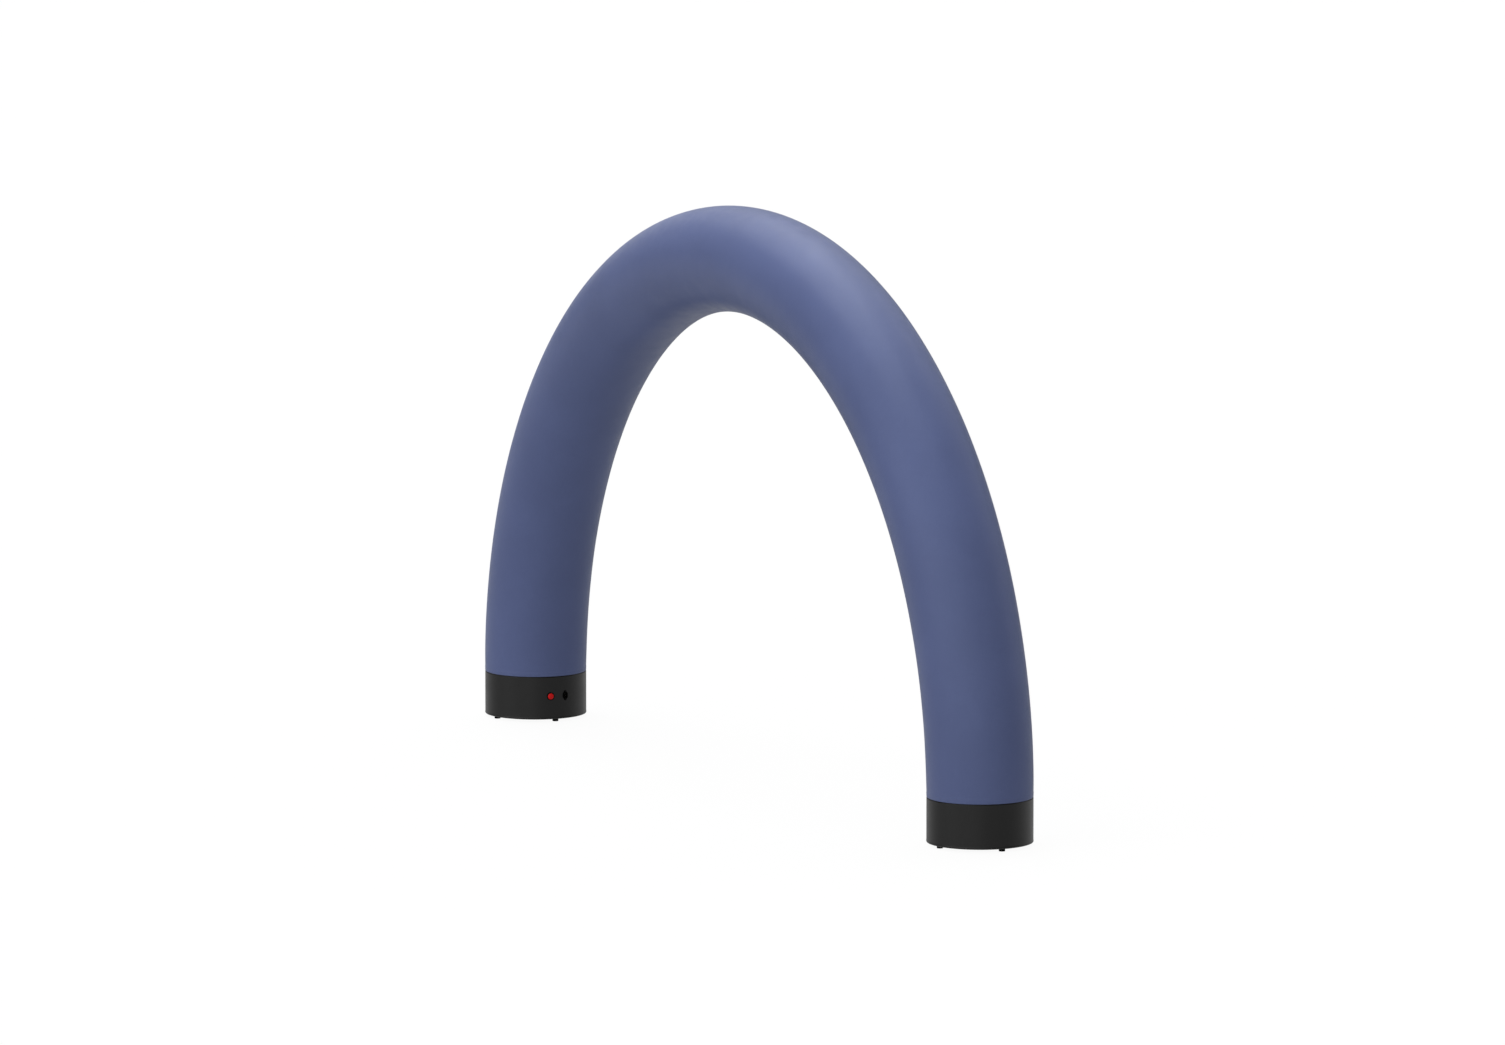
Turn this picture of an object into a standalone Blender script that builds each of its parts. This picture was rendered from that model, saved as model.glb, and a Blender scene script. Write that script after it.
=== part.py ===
"""Inflatable arch for events: a cloth tube pumped tight and bent into a half circle, on two drum bases.

Metres, +Z up. The origin lies on the floor, midway between the bases. The arch stands in the XZ
plane, with the base that carries the controls at -X and the plain base at +X. People walk through
it along Y. Each drum is a turned sheet-steel cup whose inset neck holds the sleeve at the tube's end.
"""

import math

import bmesh
import bpy
from mathutils import Matrix

# The arch and its cloth tube.
ARCH_RADIUS = 2.2742  # from the middle of the span to the axis of each leg
TUBE_RADIUS = 0.2516  # of the legs
CROWN_SWELL = 0.0029  # how much thicker the tube is at its crown
HEM_DRAW = 0.0026  # how far the hem pulls the tube in
HEM_REACH = 0.080  # the length over which that wears off
HEM_HEIGHT = 0.2131  # from the drum's underside to the lower edge of the cloth
SLEEVE_WALL = 0.002  # the cloth where it is a sleeve round the neck
SLEEVE_DEPTH = 0.050

# The drum bases.
BASE_RADIUS = 0.250
BASE_HEIGHT = 0.2096  # to the shoulder, just under the hem
BASE_WALL = 0.002
SHOULDER_BEVEL = 0.0015
BOTTOM_ROUND = 0.005
NECK_RADIUS = 0.2455
NECK_HEIGHT = 0.045  # above the shoulder

# The feet, four under each drum.
FOOT_COUNT = 4
FOOT_RADIUS = 0.015
FOOT_HEIGHT = 0.015
FOOT_BEVEL = 0.0015
FOOT_CIRCLE = 0.2125  # radius of the circle that they stand on

# The controls on the far drum, by their angle from +X round the drum's axis.
CONTROL_HEIGHT = 0.115  # above the drum's underside
BUTTON_ANGLE = math.radians(-10.0)
BEZEL_RADIUS = 0.0195
BEZEL_HEIGHT = 0.004
BARREL_RADIUS = 0.0175
BARREL_DEPTH = 0.020
BARREL_FLOOR = 0.0025
BORE_RADIUS = 0.0155
EDGE_BEVEL = 0.0008
CAP_RADIUS = 0.0150
CAP_RIM = 0.0046  # how far the cap's rim stands out of the drum
CAP_CROWN = 0.0085
CAP_DEPTH = 0.010

INLET_ANGLE = math.radians(8.5)
INLET_LENGTH = 0.050  # upright, from tip to tip
INLET_WIDTH = 0.028
INLET_FLANGE = 0.003
INLET_TIP = 0.005  # radius of the rounded tips
INLET_SHOULDER = 0.009  # half the length of the flange's straight sides
BODY_WIDTH = 0.0205
BODY_LENGTH = 0.0275
BODY_DEPTH = 0.020
RECESS_WIDTH = 0.0165
RECESS_LENGTH = 0.0242
RECESS_CORNER = 0.0045  # two corners are cut off, so that a plug goes in one way only
RECESS_DEPTH = 0.016

FACE_GAP = 0.0003  # between pieces that touch
HOLE_GAP = 0.0004  # round what goes through the drum's wall
CUT_PAST = 0.010  # how far a cutter runs past what it cuts

TUBE_SIDES = 48
TUBE_STEPS = 64
DRUM_SIDES = 48
SMALL_SIDES = 24
ROUND_STEPS = 4
SHARP_ANGLE = math.radians(35.0)

# Colour, roughness and metallic value of each material.
FINISHES = {
    "blue_cloth": ((0.100, 0.125, 0.270), 0.75, 0.0),
    "dark_enamel": ((0.022, 0.022, 0.023), 0.45, 0.0),
    "black_rubber": ((0.015, 0.015, 0.016), 0.80, 0.0),
    "black_plastic": ((0.008, 0.008, 0.008), 0.50, 0.0),
    "red_plastic": ((0.450, 0.010, 0.012), 0.35, 0.0),
}


def clear_scene():
    for old in list(bpy.data.objects):
        bpy.data.objects.remove(old, do_unlink=True)


def collection(name, hidden=False):
    made = bpy.data.collections.new(name)
    bpy.context.scene.collection.children.link(made)
    made.hide_render = hidden
    return made


def materials():
    made = {}
    for name, (colour, roughness, metallic) in FINISHES.items():
        material = bpy.data.materials.new(name)
        material.use_nodes = True
        shader = material.node_tree.nodes["Principled BSDF"]
        shader.inputs["Base Color"].default_value = (*colour, 1.0)
        shader.inputs["Roughness"].default_value = roughness
        shader.inputs["Metallic"].default_value = metallic
        made[name] = material
    return made


def place(name, group, location=(0.0, 0.0, 0.0), turn=None):
    """An empty that pieces hang on."""
    empty = bpy.data.objects.new(name, None)
    empty.matrix_world = Matrix.Translation(location) @ (turn or Matrix.Identity(4))
    empty.empty_display_size = 0.1
    group.objects.link(empty)
    return empty


def add_object(name, mesh, group, parent, material=None, location=(0.0, 0.0, 0.0)):
    made = bpy.data.objects.new(name, mesh)
    made.parent = parent
    made.location = location
    group.objects.link(made)
    if material:
        mesh.materials.append(material)
    return made


def smooth_rounds(mesh):
    mesh.shade_smooth()
    mesh.set_sharp_from_angle(angle=SHARP_ANGLE)


def arc(centre_x, centre_z, radius, start, end, steps=ROUND_STEPS):
    """Points of a quarter or other part of a circle in a profile, both ends included."""
    turns = [start + (end - start) * i / steps for i in range(steps + 1)]
    return [(centre_x + radius * math.cos(t), centre_z + radius * math.sin(t)) for t in turns]


def profile_mesh(name, points):
    """A line of (radius, height) points for a Screw modifier: it runs down the outer side."""
    mesh = bpy.data.meshes.new(name)
    corners = [(x, 0.0, z) for x, z in points]
    mesh.from_pydata(corners, [(i, i + 1) for i in range(len(corners) - 1)], [])
    return mesh


def turned(name, points, group, parent, material, sides, location=(0.0, 0.0, 0.0)):
    """A piece turned about its own Z axis."""
    made = add_object(name, profile_mesh(name, points), group, parent, material, location)
    screw = made.modifiers.new("Turn", "SCREW")
    screw.axis = "Z"
    screw.steps = sides
    screw.render_steps = sides
    screw.use_merge_vertices = True
    screw.merge_threshold = 0.00001
    screw.use_smooth_shade = True
    return made


def outline_mesh(name, points, low, high):
    """A flat outline in XY made solid between two heights."""
    curve = bpy.data.curves.new(name, "CURVE")
    curve.dimensions = "2D"
    curve.fill_mode = "BOTH"
    curve.extrude = (high - low) / 2
    line = curve.splines.new("POLY")
    line.points.add(len(points) - 1)
    for point, (x, y) in zip(line.points, points):
        point.co = (x, y, 0.0, 1.0)
    line.use_cyclic_u = True
    guide = bpy.data.objects.new(name, curve)
    mesh = bpy.data.meshes.new_from_object(guide)
    bpy.data.objects.remove(guide)
    solid = bmesh.new()
    solid.from_mesh(mesh)
    bmesh.ops.remove_doubles(solid, verts=solid.verts, dist=0.00001)
    bmesh.ops.translate(solid, verts=solid.verts, vec=(0.0, 0.0, (high + low) / 2))
    bmesh.ops.recalc_face_normals(solid, faces=solid.faces)
    solid.to_mesh(mesh)
    solid.free()
    return mesh


def box_mesh(name, size, centre):
    solid = bmesh.new()
    bmesh.ops.create_cube(solid, size=1.0, matrix=Matrix.Translation(centre) @ Matrix.Diagonal((*size, 1.0)))
    mesh = bpy.data.meshes.new(name)
    solid.to_mesh(mesh)
    solid.free()
    return mesh


def cylinder_mesh(name, radius, low, high):
    solid = bmesh.new()
    bmesh.ops.create_cone(
        solid,
        cap_ends=True,
        segments=SMALL_SIDES,
        radius1=radius,
        radius2=radius,
        depth=high - low,
        matrix=Matrix.Translation((0.0, 0.0, (high + low) / 2)),
    )
    mesh = bpy.data.meshes.new(name)
    solid.to_mesh(mesh)
    solid.free()
    return mesh


def boolean(target, tool, operation):
    """Cuts the tool out of the target, or joins it on; the tool stays as a wire guide."""
    tool.hide_render = True
    tool.display_type = "WIRE"
    change = target.modifiers.new(tool.name, "BOOLEAN")
    change.operation = operation
    change.solver = "EXACT"
    change.object = tool


def tube_radius(turn):
    """The tube's radius at a turn of 0 to pi along the half circle."""
    from_hem = ARCH_RADIUS * min(turn, math.pi - turn)
    return TUBE_RADIUS + CROWN_SWELL * math.sin(turn) - HEM_DRAW * math.exp(-from_hem / HEM_REACH)


def skin_mesh():
    """The pumped-up tube: a ring spun over the half circle, swelled to its true radius, and its two
    ends closed a little way in, so that each end is a sleeve."""
    solid = bmesh.new()
    ring = Matrix.Translation((ARCH_RADIUS, 0.0, 0.0))
    bmesh.ops.create_circle(solid, segments=TUBE_SIDES, radius=TUBE_RADIUS, matrix=ring)
    first = list(solid.edges)
    bmesh.ops.spin(
        solid,
        geom=first,
        cent=(0.0, 0.0, 0.0),
        axis=(0.0, -1.0, 0.0),
        angle=math.pi,
        steps=TUBE_STEPS,
        use_duplicate=False,
    )
    for corner in solid.verts:
        turn = math.atan2(corner.co.z, corner.co.x) % math.tau
        turn = 0.0 if turn > 1.5 * math.pi else min(turn, math.pi)
        middle = Matrix.Rotation(-turn, 3, "Y") @ ring.translation
        corner.co = middle + (corner.co - middle) * (tube_radius(turn) / TUBE_RADIUS)
    ends = bmesh.ops.holes_fill(solid, edges=[e for e in solid.edges if e.is_boundary])["faces"]
    bmesh.ops.recalc_face_normals(solid, faces=solid.faces)
    bmesh.ops.inset_individual(solid, faces=ends, thickness=SLEEVE_WALL, use_even_offset=True)
    pockets = bmesh.ops.extrude_discrete_faces(solid, faces=ends)["faces"]
    for pocket in pockets:
        bmesh.ops.translate(solid, verts=pocket.verts, vec=(0.0, 0.0, SLEEVE_DEPTH))
    mesh = bpy.data.meshes.new("arch_skin")
    solid.to_mesh(mesh)
    solid.free()
    smooth_rounds(mesh)
    return mesh


def drum_profile():
    """A cup, from the middle of its floor up the inside, over the neck and down the outside."""
    inner = BASE_RADIUS - BASE_WALL
    shoulder_underside = BASE_HEIGHT - BASE_WALL
    quarter = math.pi / 2
    inside = [(0.0, BASE_WALL)]
    inside += arc(BASE_RADIUS - BOTTOM_ROUND, BOTTOM_ROUND, BOTTOM_ROUND - BASE_WALL, -quarter, 0.0)
    inside += [(inner, shoulder_underside), (NECK_RADIUS - BASE_WALL, shoulder_underside)]
    rim = BASE_HEIGHT + NECK_HEIGHT
    neck = [(NECK_RADIUS - BASE_WALL, rim), (NECK_RADIUS, rim), (NECK_RADIUS, BASE_HEIGHT)]
    shoulder = [
        (BASE_RADIUS - SHOULDER_BEVEL, BASE_HEIGHT),
        (BASE_RADIUS, BASE_HEIGHT - SHOULDER_BEVEL),
    ]
    bottom = arc(BASE_RADIUS - BOTTOM_ROUND, BOTTOM_ROUND, BOTTOM_ROUND, 0.0, -quarter)
    return inside + neck + shoulder + bottom + [(0.0, 0.0)]


def foot_profile():
    top = FOOT_HEIGHT - FACE_GAP
    side = [(FOOT_RADIUS, top), (FOOT_RADIUS, FOOT_BEVEL), (FOOT_RADIUS - FOOT_BEVEL, 0.0)]
    return [(0.0, top), *side, (0.0, 0.0)]


def bezel_profile():
    """A cup behind the drum's wall, with a ring that laps over the wall's face."""
    floor = -BARREL_DEPTH + BARREL_FLOOR
    inside = [(0.0, floor), (BORE_RADIUS, floor), (BORE_RADIUS, BEZEL_HEIGHT - EDGE_BEVEL)]
    ring = [
        (BORE_RADIUS + EDGE_BEVEL, BEZEL_HEIGHT),
        (BEZEL_RADIUS - EDGE_BEVEL, BEZEL_HEIGHT),
        (BEZEL_RADIUS, BEZEL_HEIGHT - EDGE_BEVEL),
        (BEZEL_RADIUS, FACE_GAP),
    ]
    barrel = [(BARREL_RADIUS, FACE_GAP), (BARREL_RADIUS, -BARREL_DEPTH), (0.0, -BARREL_DEPTH)]
    return inside + ring + barrel


def cap_profile():
    """A plunger whose front is part of a sphere."""
    rise = CAP_CROWN - CAP_RIM
    sphere = (CAP_RADIUS**2 + rise**2) / (2 * rise)
    edge = math.acos(CAP_RADIUS / sphere)
    dome = arc(0.0, CAP_CROWN - sphere, sphere, math.pi / 2, edge)
    return [(0.0, CAP_CROWN), *dome[1:], (CAP_RADIUS, -CAP_DEPTH), (0.0, -CAP_DEPTH)]


def inlet_outline():
    """The flange's outline: two straight sides that slant in to rounded tips."""
    half_width = INLET_WIDTH / 2
    tip_centre = INLET_LENGTH / 2 - INLET_TIP
    run = tip_centre - INLET_SHOULDER
    meets = math.acos(INLET_TIP / math.hypot(half_width, run)) - math.atan2(run, half_width)
    upper = arc(0.0, tip_centre, INLET_TIP, meets, math.pi - meets, 2 * ROUND_STEPS)
    lower = [(-x, -y) for x, y in upper]
    right = [(half_width, -INLET_SHOULDER), (half_width, INLET_SHOULDER)]
    left = [(-x, -y) for x, y in right]
    return [*right, *upper, *left, *lower]


def recess_outline():
    x, y = RECESS_WIDTH / 2, RECESS_LENGTH / 2
    cut = RECESS_CORNER
    return [(-x, -y), (x - cut, -y), (x, -y + cut), (x, y - cut), (x - cut, y), (-x, y)]


def on_drum(name, group, parent, angle):
    """An empty on the drum's side, with its Z axis pointing straight out and its Y axis up."""
    outward = Matrix.Rotation(angle, 4, "Z")
    upright = Matrix(((0, 0, 1, 0), (1, 0, 0, 0), (0, 1, 0, 0), (0, 0, 0, 1)))
    spot = outward @ Matrix.Translation((BASE_RADIUS, 0.0, CONTROL_HEIGHT)) @ upright
    empty = place(name, group, turn=spot)
    empty.parent = parent
    return empty


def add_base(side, x, group, finishes):
    """A drum and its four feet, all hung on one empty on the floor."""
    stand = place(f"{side}_stand", group, (x, 0.0, 0.0))
    lifted = (0.0, 0.0, FOOT_HEIGHT)
    drum = turned(f"base_{side}", drum_profile(), group, stand, finishes["dark_enamel"], DRUM_SIDES, lifted)
    for i in range(FOOT_COUNT):
        angle = math.tau * i / FOOT_COUNT
        spot = (FOOT_CIRCLE * math.cos(angle), FOOT_CIRCLE * math.sin(angle), 0.0)
        name = f"foot_{side}_{i + 1}"
        turned(name, foot_profile(), group, stand, finishes["black_rubber"], SMALL_SIDES, spot)
    return drum


def add_button(drum, group, cutters, finishes):
    spot = on_drum("button_place", group, drum, BUTTON_ANGLE)
    turned("button_bezel", bezel_profile(), group, spot, finishes["black_plastic"], SMALL_SIDES)
    turned("button_cap", cap_profile(), group, spot, finishes["red_plastic"], SMALL_SIDES)
    hole = cylinder_mesh("button_hole", BARREL_RADIUS + HOLE_GAP, -BARREL_DEPTH, CUT_PAST)
    boolean(drum, add_object("button_hole", hole, cutters, spot), "DIFFERENCE")


def add_inlet(drum, group, cutters, finishes):
    spot = on_drum("inlet_place", group, drum, INLET_ANGLE)
    flange = outline_mesh("power_inlet", inlet_outline(), FACE_GAP, FACE_GAP + INLET_FLANGE)
    inlet = add_object("power_inlet", flange, group, spot, finishes["black_plastic"])
    middle = FACE_GAP + INLET_FLANGE / 2
    body = box_mesh(
        "inlet_body",
        (BODY_WIDTH, BODY_LENGTH, BODY_DEPTH + middle),
        (0.0, 0.0, (middle - BODY_DEPTH) / 2),
    )
    boolean(inlet, add_object("inlet_body", body, cutters, spot), "UNION")
    front = FACE_GAP + INLET_FLANGE
    recess = outline_mesh("inlet_recess", recess_outline(), front - RECESS_DEPTH, front + CUT_PAST)
    boolean(inlet, add_object("inlet_recess", recess, cutters, spot), "DIFFERENCE")
    size = (BODY_WIDTH + 2 * HOLE_GAP, BODY_LENGTH + 2 * HOLE_GAP, BODY_DEPTH + CUT_PAST)
    hole = box_mesh("inlet_hole", size, (0.0, 0.0, (CUT_PAST - BODY_DEPTH) / 2))
    boolean(drum, add_object("inlet_hole", hole, cutters, spot), "DIFFERENCE")


def main():
    clear_scene()
    group = collection("Inflatable arch")
    cutters = collection("Cutters", hidden=True)
    finishes = materials()
    springing = (0.0, 0.0, FOOT_HEIGHT + HEM_HEIGHT)
    add_object("arch_skin", skin_mesh(), group, None, finishes["blue_cloth"], springing)
    far_drum = add_base("far", -ARCH_RADIUS, group, finishes)
    add_base("near", ARCH_RADIUS, group, finishes)
    add_button(far_drum, group, cutters, finishes)
    add_inlet(far_drum, group, cutters, finishes)


main()
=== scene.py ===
"""Dresses the inflatable arch: a pumped-up cloth tube bent into a half circle on two drum bases.

Metres, +Z up, in the part's own frame. The arch stands in the XZ plane. The drum with the button
and the mains inlet is at -X, the plain drum at +X.
"""

import math

import bmesh
import bpy
from mathutils import Matrix, Vector


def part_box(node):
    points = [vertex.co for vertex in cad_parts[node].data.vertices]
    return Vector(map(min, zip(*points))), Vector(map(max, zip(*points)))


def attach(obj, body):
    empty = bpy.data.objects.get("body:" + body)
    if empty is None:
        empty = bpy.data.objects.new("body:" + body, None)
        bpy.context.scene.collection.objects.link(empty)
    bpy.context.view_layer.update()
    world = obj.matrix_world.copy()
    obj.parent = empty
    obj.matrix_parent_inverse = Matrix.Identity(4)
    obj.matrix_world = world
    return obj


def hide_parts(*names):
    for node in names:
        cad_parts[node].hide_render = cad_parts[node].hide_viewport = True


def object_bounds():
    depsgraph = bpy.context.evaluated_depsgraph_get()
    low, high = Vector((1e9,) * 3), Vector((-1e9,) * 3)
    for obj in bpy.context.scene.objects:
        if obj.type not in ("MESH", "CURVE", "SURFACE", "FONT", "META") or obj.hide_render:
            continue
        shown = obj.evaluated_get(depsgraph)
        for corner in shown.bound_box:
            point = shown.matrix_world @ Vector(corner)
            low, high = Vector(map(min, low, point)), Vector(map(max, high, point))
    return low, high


bl_info = {
    "name": "Inflatable Arch",
    "version": (1, 0, 0),
    "blender": (4, 5, 0),
    "location": "3D View > Sidebar > Arch",
    "description": "Builds the cloth tube, drums, feet and controls of an inflatable arch",
    "category": "Object",
}

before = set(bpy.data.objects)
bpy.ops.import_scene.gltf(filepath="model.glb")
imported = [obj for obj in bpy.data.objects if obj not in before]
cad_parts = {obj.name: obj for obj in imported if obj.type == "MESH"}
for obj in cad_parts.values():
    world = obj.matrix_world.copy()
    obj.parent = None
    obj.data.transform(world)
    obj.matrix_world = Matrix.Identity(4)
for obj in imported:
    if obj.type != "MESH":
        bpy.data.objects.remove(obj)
CAD_LOW, CAD_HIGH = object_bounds()

SKIN_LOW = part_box("arch_skin")[0]
NEAR_LOW, NEAR_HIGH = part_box("base_near")
FOOT_LOW, FOOT_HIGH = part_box("foot_near_1")

# Sizes that the pieces share. The drums' own heights count from their undersides.
LEG_X = (NEAR_LOW.x + NEAR_HIGH.x) / 2  # each leg's axis
SPRINGING = SKIN_LOW.z  # where the tube meets its drums
BASE_RADIUS = (NEAR_HIGH.x - NEAR_LOW.x) / 2
BASE_BOTTOM = NEAR_LOW.z
NECK_RADIUS = 0.2455
NECK_HEIGHT = 0.045
BASE_HEIGHT = NEAR_HIGH.z - NEAR_LOW.z - NECK_HEIGHT
BASE_WALL = 0.002
SLEEVE_DEPTH = 0.050
FACE_GAP = 0.0003
HOLE_GAP = 0.0004
CUT_PAST = 0.010
CUT_DEPTH = 0.020
WALL_TOLERANCE = 0.00005
CONTROL_HEIGHT = 0.115
SMOOTH_BELOW = math.radians(32.0)
QUARTER = math.pi / 2
SAME_SPOT = 0.000005  # a turned mesh's corners closer than this are one

FEET = [f"foot_{side}_{i}" for side in ("far", "near") for i in (1, 2, 3, 4)]


# ---- Settings


def length_setting(name, description, default):
    """A length in metres."""
    return bpy.props.FloatProperty(name=name, description=description, default=default, unit="LENGTH")


def angle_setting(name, description, degrees):
    """An angle, given in degrees and kept in radians."""
    turn = math.radians(degrees)
    return bpy.props.FloatProperty(name=name, description=description, default=turn, subtype="ANGLE")


def colour_setting(name, description, default):
    """A colour in linear red, green and blue."""
    return bpy.props.FloatVectorProperty(name=name, description=description, default=default, subtype="COLOR")


class ClothSettings(bpy.types.PropertyGroup):
    """The tube and its hems"""

    tube_radius: length_setting("Tube radius", "Of the legs, pumped up", 0.2516)
    crown_swell: length_setting("Crown swell", "How much thicker the crown is", 0.0029)
    hem_draw: length_setting("Hem draw", "How far the hems pull the tube in", 0.0026)
    hem_reach: length_setting("Hem reach", "The length over which the pull wears off", 0.080)
    hem_depth: length_setting("Hem depth", "Height of the doubled hem", 0.022)
    hem_fold: length_setting("Hem fold", "Radius of the folded lower edge", 0.0014)
    slackness: length_setting("Slackness", "Depth of the soft hollows", 0.0007)
    thread_pitch: length_setting("Thread pitch", "Between neighbouring threads", 0.0008)
    stitch_pitch: length_setting("Stitch pitch", "Between stitches in the hem", 0.0062)
    colour: colour_setting("Cloth", "Colour of the coated cloth", (0.1210, 0.1530, 0.3120))
    thread_colour: colour_setting("Thread", "Colour of the stitches", (0.113, 0.142, 0.290))


class DrumSettings(bpy.types.PropertyGroup):
    """The two sheet-steel drums and their feet"""

    bottom_round: length_setting("Bottom round", "Radius of the lower edge", 0.005)
    bead: length_setting("Bead", "How far the rolled lower rim stands proud", 0.0006)
    shoulder_bevel: length_setting("Shoulder bevel", "Of the edge under the cloth", 0.0015)
    enamel: colour_setting("Enamel", "Colour of the powder coat", (0.0035, 0.0035, 0.0036))
    rubber: colour_setting("Rubber", "Colour of the feet", (0.002, 0.002, 0.002))


class ControlSettings(bpy.types.PropertyGroup):
    """The push button and the mains inlet"""

    button_angle: angle_setting("Button angle", "From +X round the drum", -10.0)
    inlet_angle: angle_setting("Inlet angle", "From +X round the drum", 8.5)
    red: colour_setting("Button", "Colour of the cap", (0.680, 0.006, 0.006))
    plastic: colour_setting("Plastic", "Colour of ring and inlet", (0.001, 0.001, 0.001))


class StageSettings(bpy.types.PropertyGroup):
    """Floor, light and camera"""

    floor_radius: length_setting("Floor radius", "Of the pale floor", 60.0)
    floor_colour: colour_setting("Floor", "Colour of the floor", (0.05, 0.05, 0.05))
    focal_length: bpy.props.FloatProperty(
        name="Focal length", description="Of the camera", default=330.12, unit="CAMERA"
    )
    distance: length_setting("Distance", "From the camera to the arch", 66.1827)
    azimuth: angle_setting("Azimuth", "Of the camera, from -Y towards +X", 62.0225)
    elevation: angle_setting("Elevation", "Of the camera", 7.849)


class ArchSettings(bpy.types.PropertyGroup):
    """All settings of the arch"""

    cloth: bpy.props.PointerProperty(type=ClothSettings)
    drums: bpy.props.PointerProperty(type=DrumSettings)
    controls: bpy.props.PointerProperty(type=ControlSettings)
    stage: bpy.props.PointerProperty(type=StageSettings)


# ---- Helpers for node trees

SOCKET_KINDS = {float: "Float", int: "Int", bpy.types.Material: "Material", bpy.types.Object: "Object"}


def add_node(tree, kind, sockets=None, **settings):
    """Adds a node. Each socket is given a value, or another node's output to be linked to."""
    made = tree.nodes.new(kind)
    for name, value in settings.items():
        setattr(made, name, value)
    for name, value in (sockets or {}).items():
        if isinstance(value, bpy.types.NodeSocket):
            tree.links.new(value, made.inputs[name])
        else:
            made.inputs[name].default_value = value
    return made


def sums(tree, operation, *values):
    """The result of a Math node."""
    return add_node(tree, "ShaderNodeMath", dict(enumerate(values)), operation=operation).outputs[0]


def product(tree, first, second):
    """One value times another."""
    return sums(tree, "MULTIPLY", first, second)


def total(tree, first, second):
    """One value plus another."""
    return sums(tree, "ADD", first, second)


def average(tree, first, second):
    """The value half way between two."""
    return product(tree, total(tree, first, second), 0.5)


def combined(tree, x, y, z):
    """A vector from three values."""
    return add_node(tree, "ShaderNodeCombineXYZ", {"X": x, "Y": y, "Z": z}).outputs[0]


def stretched(tree, place, scales):
    """A place with each axis scaled on its own."""
    return add_node(tree, "ShaderNodeVectorMath", {0: place, 1: scales}, operation="MULTIPLY").outputs[0]


def object_place(tree):
    """Where a point lies on its object, in metres."""
    return add_node(tree, "ShaderNodeTexCoord").outputs["Object"]


def faded(tree, value, start, end, low=0.0, high=1.0):
    """A value that goes smoothly from low to high as another goes from start to end."""
    sockets = {"Value": value, "From Min": start, "From Max": end, "To Min": low, "To Max": high}
    return add_node(tree, "ShaderNodeMapRange", sockets, interpolation_type="SMOOTHSTEP").outputs["Result"]


def noise(tree, place, scale=1.0, detail=2.0, roughness=0.5):
    """Soft noise about 0.5, with so many lumps to the unit of the place."""
    sockets = {"Vector": place, "Scale": scale, "Detail": detail, "Roughness": roughness}
    return add_node(tree, "ShaderNodeTexNoise", sockets).outputs[0]


def on_points(tree, points, instance, **sockets):
    """An instance on every point."""
    sockets.update(Points=points, Instance=instance)
    return add_node(tree, "GeometryNodeInstanceOnPoints", sockets)


def end_tree(tree, geometry, material):
    """Ends a tree: smooth shading, realized instances, material."""
    shaded = add_node(tree, "GeometryNodeSetShadeSmooth", {"Geometry": geometry, "Shade Smooth": True})
    real = add_node(tree, "GeometryNodeRealizeInstances", {"Geometry": shaded.outputs[0]})
    painted = add_node(tree, "GeometryNodeSetMaterial", {"Geometry": real.outputs[0], "Material": material})
    tree.links.new(painted.outputs[0], tree.nodes.new("NodeGroupOutput").inputs[0])


def grown_mesh(name, build, values):
    """Makes a Geometry Nodes tree whose named inputs are these values, lets build fill it, runs it
    and gives its result as a plain mesh."""
    tree = bpy.data.node_groups.new(name, "GeometryNodeTree")
    tree.is_modifier = True
    for label, value in values.items():
        kind = SOCKET_KINDS[type(value)]
        tree.interface.new_socket(name=label, in_out="INPUT", socket_type=f"NodeSocket{kind}")
    tree.interface.new_socket(name="Geometry", in_out="OUTPUT", socket_type="NodeSocketGeometry")
    build(tree, tree.nodes.new("NodeGroupInput").outputs)
    carrier = new_object(name, bpy.data.meshes.new(name))
    modifier = carrier.modifiers.new(name, "NODES")
    modifier.node_group = tree
    for item in tree.interface.items_tree:
        if item.in_out == "INPUT":
            modifier[item.identifier] = values[item.name]
    bpy.context.view_layer.update()
    graph = bpy.context.evaluated_depsgraph_get()
    mesh = bpy.data.meshes.new_from_object(
        carrier.evaluated_get(graph), preserve_all_data_layers=True, depsgraph=graph
    )
    bpy.data.objects.remove(carrier)
    if not mesh.polygons:
        raise RuntimeError(f"{name} made no faces")
    return mesh


# ---- Materials


def new_material(name, colour, roughness, **sockets):
    """A Principled material with plain values on the shader's own sockets."""
    material = bpy.data.materials.new(name)
    material.use_nodes = True
    tree = material.node_tree
    shader = tree.nodes["Principled BSDF"]
    shader.inputs["Base Color"].default_value = (*colour, 1.0)
    shader.inputs["Roughness"].default_value = roughness
    for socket, value in sockets.items():
        shader.inputs[socket.replace("_", " ")].default_value = value
    return material, tree, shader


def tinted(tree, amount, colour, low, high):
    """The colour from low to high times its strength, as amount goes from 0 to 1."""
    mix = add_node(tree, "ShaderNodeMix", {"Factor": amount}, data_type="RGBA")
    mix.inputs["A"].default_value = (*(low * c for c in colour), 1.0)
    mix.inputs["B"].default_value = (*(high * c for c in colour), 1.0)
    return mix.outputs["Result"]


def mixed(tree, amount, first, second):
    """A mix of two colours, each a socket or three numbers."""
    mix = add_node(tree, "ShaderNodeMix", {"Factor": amount}, data_type="RGBA")
    for name, value in (("A", first), ("B", second)):
        if isinstance(value, bpy.types.NodeSocket):
            tree.links.new(value, mix.inputs[name])
        else:
            mix.inputs[name].default_value = (*value, 1.0)
    return mix.outputs["Result"]


def bump(tree, height, distance, strength=1.0, normal=None):
    """A shading normal from a height, in metres at full height. It can lie on another normal."""
    sockets = {"Height": height, "Distance": distance, "Strength": strength}
    if normal:
        sockets["Normal"] = normal
    return add_node(tree, "ShaderNodeBump", sockets).outputs["Normal"]


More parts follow.
